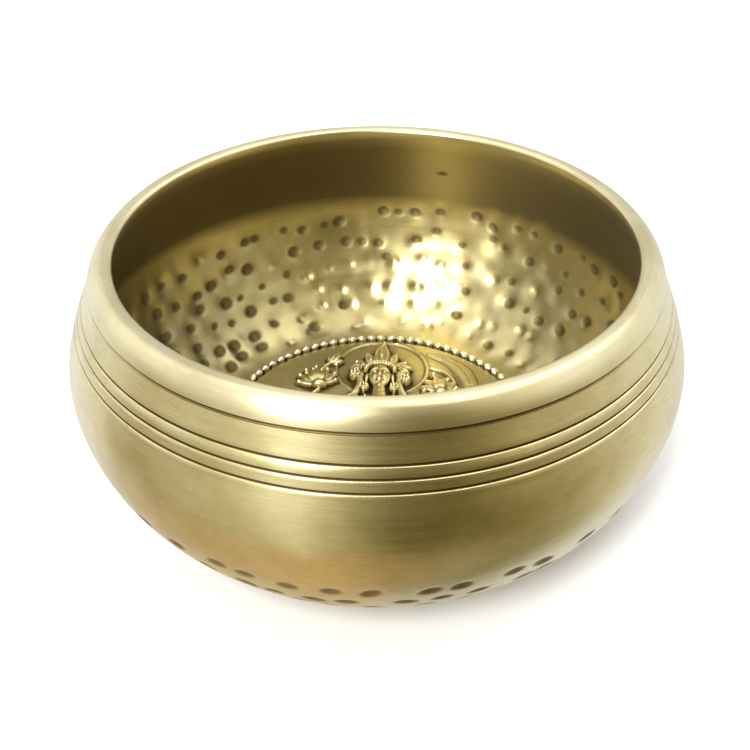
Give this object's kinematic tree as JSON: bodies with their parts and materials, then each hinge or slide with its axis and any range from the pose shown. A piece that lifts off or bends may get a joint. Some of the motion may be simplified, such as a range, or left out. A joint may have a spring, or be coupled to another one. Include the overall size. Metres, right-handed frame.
{
  "type": "singing bowl",
  "caption": "Round brass singing bowl with a rolled rim, turned grooves, hammered inside and a relief medallion set in its floor; it stands on a flat foot.",
  "frame": {"origin": "middle of the flat underside, on the surface the bowl stands on", "axes": "+Z up along the bowl's turned axis, +Y towards the top of the medallion's figure, +X to the figure's right as seen from above with +Y up"},
  "size_m": [0.1108, 0.1108, 0.049],
  "materials": {
    "turned_brass": "satin, turned and brushed, dark patina in grooves and hammer marks",
    "plaque_brass": "antiqued relief, dark in the hollows and rubbed bright on the high places",
    "bead_brass": "rubbed bright",
    "soft_solder": "dull grey soft solder"
  },
  "bodies": {
    "root": {"bowl": "turned_brass", "medallion": "plaque_brass", "bead_border": "bead_brass", "solder_bed": "soft_solder"}
  },
  "joints": []
}
